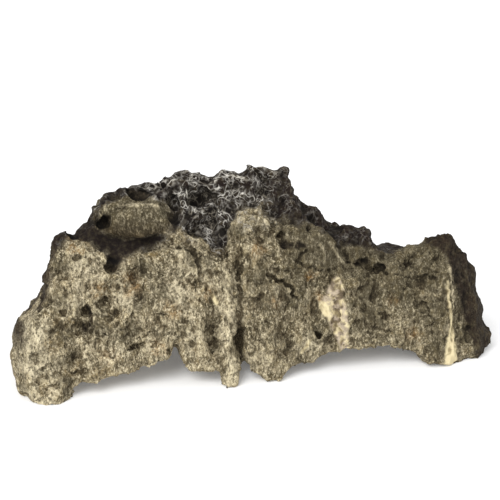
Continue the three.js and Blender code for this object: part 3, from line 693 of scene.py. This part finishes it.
def wall_colour(paint, colours):
    """Khaki with olive in broad patches, on the right and on the boulder, under cream and dark grains."""
    grains, over, layer, right = paint.grains, paint.over, paint.layer, paint.right
    shade, cream, olive = colours.shade, colours.cream, colours.olive
    base = over(colours.wall, olive, 0.7, grains(24, 0.4, 0.6, seed=0.3))
    base = over(base, colours.ochre, 0.5, grains(17, 0.5, 0.66, detail=3.0, seed=0.9))
    base = over(base, olive, 0.55, right)
    base = over(base, olive, 0.95, layer["dusky"], grains(11, 0.25, 0.55, detail=4.0, seed=0.7))
    base = over(base, shade, 0.3, layer["dusky"])
    base = over(base, shade, 0.5, layer["upper_right"])
    base = over(base, olive, 0.95, layer["boulder"])
    base = over(base, shade, 0.75, layer["boulder"], grains(8, 0.4, 0.56, detail=4.0, seed=1.9))
    base = over(base, shade, 0.3, layer["boulder"])

    # Pale marks are fainter where the wall is dusky, on the right and on the boulder
    calm = over((1.0, 1.0, 1.0, 1.0), (0.4, 0.4, 0.4, 1.0), 1.0, layer["dusky"])
    calm = over(calm, (0.0, 0.0, 0.0, 1.0), 0.35, right)
    calm = over(calm, (0.35, 0.35, 0.35, 1.0), 1.0, layer["boulder"])

    # Cream crusts, mottling and rust
    base = over(base, cream, 0.9, layer["cream"], grains(7, 0.36, 0.6, stretch=1.6, detail=6.0, seed=1.1))
    base = over(base, cream, 0.55, calm, grains(5, 0.5, 0.72, stretch=1.8, detail=5.0, seed=2.3))
    base = over(base, shade, 0.5, grains(4, 0.52, 0.68, stretch=1.6, detail=5.0, seed=4.1))
    base = over(base, colours.rust, 0.75, layer["rust"], grains(6, 0.34, 0.62, detail=5.0, seed=5.7))
    base = over(base, shade, 0.35, grains(10, 0.5, 0.62, stretch=1.5, detail=5.0, seed=6.1))

    # Crooked upright fibres and creases, then single grains, drawn as coarse as the picture can just show
    fibres = paint.lines(3.0, 0.08, stretch=3.0, seed=6.9)
    creases = paint.lines(3.6, 0.09, stretch=2.6, seed=7.7)
    base = over(base, cream, 0.45, calm, fibres, grains(4, 0.42, 0.6, seed=7.3))
    base = over(base, shade, 0.5, creases, grains(5, 0.4, 0.56, seed=7.9))
    base = over(base, cream, 0.9, calm, grains(1.6, 0.55, 0.68, stretch=2.4, detail=3.0, seed=8.0))
    base = over(base, cream, 0.75, calm, grains(1.0, 0.54, 0.66, stretch=1.4, seed=8.1))
    base = over(base, shade, 0.75, grains(1.1, 0.52, 0.64, stretch=1.4, seed=8.2))
    return over(base, shade, 0.68, grains(2.0, 0.53, 0.64, stretch=2.8, detail=3.0, seed=8.4))


def top_and_end_colour(paint, colours, base):
    """Dark top and ends over the wall's colour, with pale dust on the top in a web of thin lines."""
    grains, over, layer, frost = paint.grains, paint.over, paint.layer, colours.frost
    dusk = over(colours.dark, colours.umber, 0.7, paint.right)
    dusk = over(dusk, colours.olive, 0.45, grains(2.4, 0.45, 0.7, detail=5.0, seed=8.3))
    dusk = over(dusk, frost, 0.1, layer["dust"], grains(6, 0.52, 0.7, detail=6.0, seed=8.6))
    base = over(base, dusk, 1.0, layer["top"])
    side = over(colours.umber, colours.olive, 0.65, grains(3, 0.5, 0.75, stretch=2.0, detail=5.0, seed=8.9))
    base = over(base, side, 0.9, layer["end"])
    base = over(base, frost, 0.35, layer["web"], grains(2.0, 0.4, 0.6, detail=3.0, seed=9.2))
    for size, width, strength, seed in ((9.0, 0.026, 1.0, 9.3), (6.0, 0.03, 0.95, 9.5), (4.0, 0.03, 0.8, 9.7)):
        threads = paint.lines(size, width, detail=1.0, seed=seed)
        base = over(base, frost, strength, layer["dust"], threads, grains(9, 0.46, 0.6, seed=seed))
    return base


def mineral_colour(paint, colours, base):
    """The quartz patch, with calcite between its crystals, and the pale veins."""
    between = paint.grains(4, 0.45, 0.6, detail=3.0, seed=10.3)
    crystals = paint.over(colours.quartz, colours.calcite, 1.0, between)
    crystals = paint.over(crystals, colours.shade, 0.4, paint.grains(3, 0.56, 0.66, seed=11.9))
    base = paint.over(base, crystals, 1.0, paint.layer["quartz"])
    return paint.over(base, colours.calcite, 1.0, paint.layer["vein"])


def painted_shade_and_highlight(paint, base):
    """Painted shade in the hollows, in sunken places and under the boulder, and a painted highlight on the
    grains that stand out.
    """
    low = add(paint.tree, "ShaderNodeMapRange", {
        "Value": paint.layer["proud"], "From Min": 0.5, "From Max": 0.05}).outputs["Result"]
    high = add(paint.tree, "ShaderNodeMapRange", {
        "Value": paint.layer["proud"], "From Min": 0.55, "From Max": 1.0}).outputs["Result"]
    # Painted shade where a point lies below its neighbours, and a painted highlight where it stands out
    base = paint.over(base, linear("#958e81"), 0.85, low, blend="MULTIPLY")
    base = paint.over(base, linear("#fff9e9"), 0.35, high, blend="SOFT_LIGHT")
    # Painted shade in sunken places, under the boulder and in the dark hollows
    for name, strength, shade_tint in (
        ("sunken", 0.5, "#898179"),
        ("under_boulder", 0.8, "#95897e"),
        ("dark_hollow", 0.85, "#70655e"),
    ):
        base = paint.over(base, linear(shade_tint), strength, paint.layer[name], blend="MULTIPLY")
    return base


def weathered_limestone(colours, layers):
    """Siliceous limestone, frost-split on the front and etched by water on top. The front is matte khaki
    with cream and dark grains, the top is dark with pale dust on its ridges, and quartz and calcite show
    in patches."""
    material, tree, shader = blank_material("weathered_limestone")
    paint = StonePaint(tree, layers)
    base = wall_colour(paint, colours)
    base = top_and_end_colour(paint, colours, base)
    base = mineral_colour(paint, colours, base)
    # Painted shade in the hollows and under the boulder, and a painted highlight on proud grains
    base = painted_shade_and_highlight(paint, base)

    # Fine grit as bump, with a few grains that glint
    grit = add(tree, "ShaderNodeTexNoise", {
        "Vector": paint.place, "Scale": 1 / (1.1 * MM), "Detail": 4.0, "Roughness": 0.7}).outputs["Fac"]
    bump = add(tree, "ShaderNodeBump", {
        "Height": grit, "Strength": 0.9, "Distance": 0.6 * MM}).outputs["Normal"]
    matte = add(tree, "ShaderNodeMapRange", {
        "Value": paint.grains(1.0, 0.6, 0.72, seed=12.7), "To Min": 0.88, "To Max": 0.42}).outputs["Result"]
    for name, value in {"Base Color": base, "Roughness": matte, "Normal": bump}.items():
        tree.links.new(value, shader.inputs[name])

    # The rough pores swallow most of the shine that the mineral itself would have
    shader.inputs["IOR"].default_value = 1.5
    shader.inputs["Specular IOR Level"].default_value = 0.2
    return material


def paper_floor(colours):
    """Matte white paper, lit from all round, which shows only the stone's soft shadow."""
    material, _, shader = blank_material("matte_paper")
    shader.inputs["Base Color"].default_value = colours.floor
    shader.inputs["Roughness"].default_value = 0.9
    shader.inputs["Specular IOR Level"].default_value = 0.1
    shader.inputs["Emission Color"].default_value = linear("#ffffff")
    shader.inputs["Emission Strength"].default_value = 0.12
    return material


# Operators

def copy_of_node(node, name):
    """A free copy of a CAD node, merged into one skin and alone in the selection."""
    bpy.ops.object.select_all(action="DESELECT")
    piece = bpy.data.objects.new(name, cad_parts[node].data.copy())
    bpy.context.collection.objects.link(piece)
    bpy.context.view_layer.objects.active = piece
    piece.select_set(True)
    piece.data.materials.clear()
    bpy.ops.object.mode_set(mode="EDIT")
    bpy.ops.mesh.select_all(action="SELECT")
    bpy.ops.mesh.remove_doubles(threshold=0.01 * MM)
    bpy.ops.object.mode_set(mode="OBJECT")
    return piece


def apply_modifier(piece, kind, **settings):
    """Adds a modifier with these settings and applies it."""
    modifier = piece.modifiers.new(kind.lower(), kind)
    for name, value in settings.items():
        setattr(modifier, name, value)
    bpy.ops.object.modifier_apply(modifier=modifier.name)


def thin_hidden(piece, share):
    """Thins what faces away from the front, on the back and the underside, to that share of its faces, so that
    the front can be finer."""
    hidden = Surface(piece).soft_normals(25) @ AWAY > 0.25
    group = piece.vertex_groups.new(name="hidden")
    group.add(np.flatnonzero(hidden).tolist(), 1.0, "REPLACE")
    kept = 1 - (1 - share) * np.mean(hidden)
    apply_modifier(piece, "DECIMATE", ratio=kept, vertex_group=group.name, use_collapse_triangulate=True)
    piece.vertex_groups.clear()


class STONE_OT_weather(bpy.types.Operator):
    """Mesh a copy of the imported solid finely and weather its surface"""

    bl_idname = "stone.weather"
    bl_label = "Weathered stone"

    def execute(self, context):
        sizes = context.scene.stone_relief
        piece = copy_of_node("stone", "weathered_stone")
        apply_modifier(piece, "REMESH", mode="VOXEL", voxel_size=sizes.mesh_size)
        apply_modifier(piece, "SMOOTH", factor=0.5, iterations=sizes.facet_rounds)
        thin_hidden(piece, sizes.hidden_share)
        surface = Surface(piece)
        zone, hollow, ridges = weather(surface, sizes)
        layers = paint_layers(surface, zone, hollow, ridges)
        for name, values in layers.items():
            surface.keep(name, values)
        bpy.ops.object.shade_smooth()
        piece.data.materials.append(weathered_limestone(context.scene.stone_colours, layers))
        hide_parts("stone")
        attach(piece, "root")
        triangles = sum(len(face.vertices) - 2 for face in piece.data.polygons)
        self.report({"INFO"}, f"weathered_stone has {triangles} triangles")
        return {"FINISHED"}


class STONE_OT_stage(bpy.types.Operator):
    """Lay the floor and set the lights and the camera"""

    bl_idname = "stone.stage"
    bl_label = "Floor, light and camera"

    def execute(self, context):
        stage = context.scene.stone_stage
        bpy.ops.object.select_all(action="DESELECT")
        bpy.ops.mesh.primitive_plane_add(size=stage.floor_size)
        floor = context.object
        floor.name = "floor"
        floor.data.materials.append(paper_floor(stage))

        world = bpy.data.worlds.new("soft_studio")
        world.use_nodes = True
        background = world.node_tree.nodes["Background"]
        background.inputs["Color"].default_value = linear("#ffffff")
        background.inputs["Strength"].default_value = stage.sky_light
        context.scene.world = world

        # Each sun's power, its width in degrees and the direction that it shines
        for name, power, width, direction in (
            ("key", 2.4, 40, (0.55, 0.65, -0.85)),
            ("fill", 0.5, 90, (-0.7, 0.6, -0.5)),
        ):
            bpy.ops.object.light_add(type="SUN", location=(0, 0, 1))
            sun = context.object
            sun.name = name
            sun.data.energy = power
            sun.data.angle = math.radians(width)
            sun.rotation_mode = "QUATERNION"
            sun.rotation_quaternion = Vector(direction).to_track_quat("-Z", "Y")

        target = Vector((0, 0, stage.target_height))
        pitch, yaw = stage.camera_pitch, stage.camera_yaw
        level = math.cos(pitch)
        ahead = Vector((math.sin(yaw) * level, math.cos(yaw) * level, -math.sin(pitch)))
        bpy.ops.object.camera_add(location=target - ahead * stage.camera_distance)
        camera = context.object
        camera.rotation_mode = "QUATERNION"
        camera.rotation_quaternion = ahead.to_track_quat("-Z", "Y")
        camera.data.lens = stage.lens
        camera.data.sensor_width = SENSOR_WIDTH_IN_MM
        camera.data.clip_end = 100
        context.scene.camera = camera
        context.scene.view_settings.view_transform = "Standard"
        return {"FINISHED"}


class STONE_PT_panel(bpy.types.Panel):
    """Lists the steps that make the stone, with their sizes and colours"""

    bl_idname = "STONE_PT_panel"
    bl_label = "Scholars' Rock"
    bl_space_type = "VIEW_3D"
    bl_region_type = "UI"
    bl_category = "Scholars' Rock"

    def draw(self, context):
        for operator, group in ((STONE_OT_weather, "stone_relief"), (STONE_OT_weather, "stone_colours"),
                                (STONE_OT_stage, "stone_stage")):
            settings = getattr(context.scene, group)
            self.layout.operator(operator.bl_idname)
            for name in settings.__annotations__:
                self.layout.prop(settings, name)


CLASSES = (
    STONE_PG_relief,
    STONE_PG_colours,
    STONE_PG_stage,
    STONE_OT_weather,
    STONE_OT_stage,
    STONE_PT_panel,
)
GROUPS = {"stone_relief": STONE_PG_relief, "stone_colours": STONE_PG_colours, "stone_stage": STONE_PG_stage}


def register():
    """Adds the settings, the steps and the panel to Blender."""
    for cls in CLASSES:
        bpy.utils.register_class(cls)
    for name, group in GROUPS.items():
        setattr(bpy.types.Scene, name, bpy.props.PointerProperty(type=group))


def unregister():
    """Takes them out again."""
    for name in GROUPS:
        delattr(bpy.types.Scene, name)
    for cls in reversed(CLASSES):
        bpy.utils.unregister_class(cls)


def main():
    """Makes the stone and its stage."""
    register()
    bpy.ops.stone.weather()
    bpy.ops.stone.stage()


if __name__ == "__main__":
    main()
